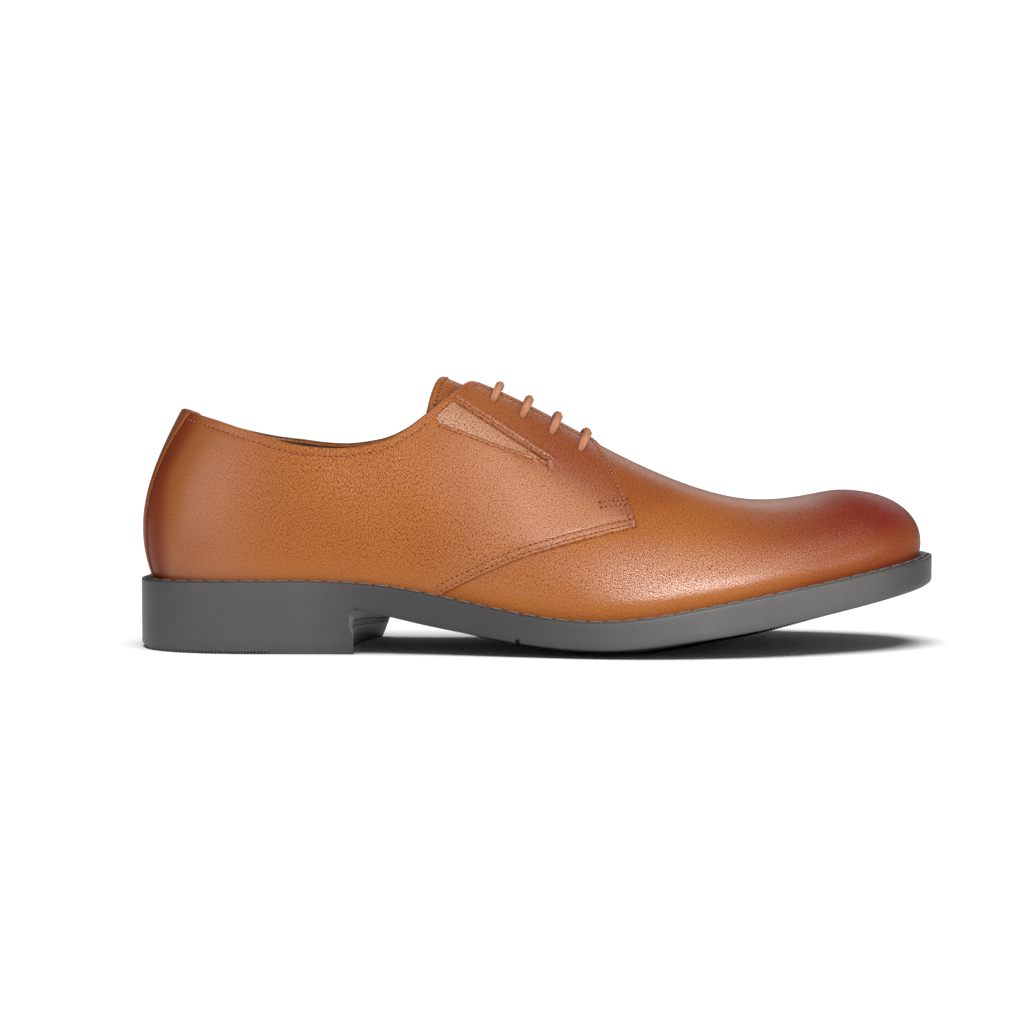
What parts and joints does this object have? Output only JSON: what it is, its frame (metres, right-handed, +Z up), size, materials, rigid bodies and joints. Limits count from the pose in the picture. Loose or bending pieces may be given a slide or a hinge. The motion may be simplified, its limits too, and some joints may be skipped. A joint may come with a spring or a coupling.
{
  "type": "derby dress shoe",
  "caption": "Plain-toe derby dress shoe for the right foot: burnished tan leather, open facings laced over a tongue, gusset panels and a grey moulded sole with a block heel.",
  "frame": {"origin": "on the floor, under the middle of the shoe's bounding box", "axes": "+X from heel to toe, +Y to the medial side of the right foot, +Z up from the floor"},
  "size_m": [0.3031, 0.1061, 0.103],
  "materials": {
    "grey_rubber": "matte moulded",
    "insole_board": "plain lining",
    "tan_vamp_leather": "burnished satin",
    "tan_quarter_leather": "burnished satin",
    "tan_strip_leather": "burnished satin",
    "tan_tongue_leather": "satin",
    "tan_lace": "waxed woven cord"
  },
  "bodies": {
    "root": {"outsole": "grey_rubber", "insole": "insole_board", "upper": "tan_vamp_leather", "quarters": "tan_quarter_leather", "back_strip": "tan_strip_leather", "tongue": "tan_tongue_leather", "lace_1": "tan_lace", "lace_2": "tan_lace", "lace_3": "tan_lace", "lace_4": "tan_lace"}
  },
  "joints": []
}
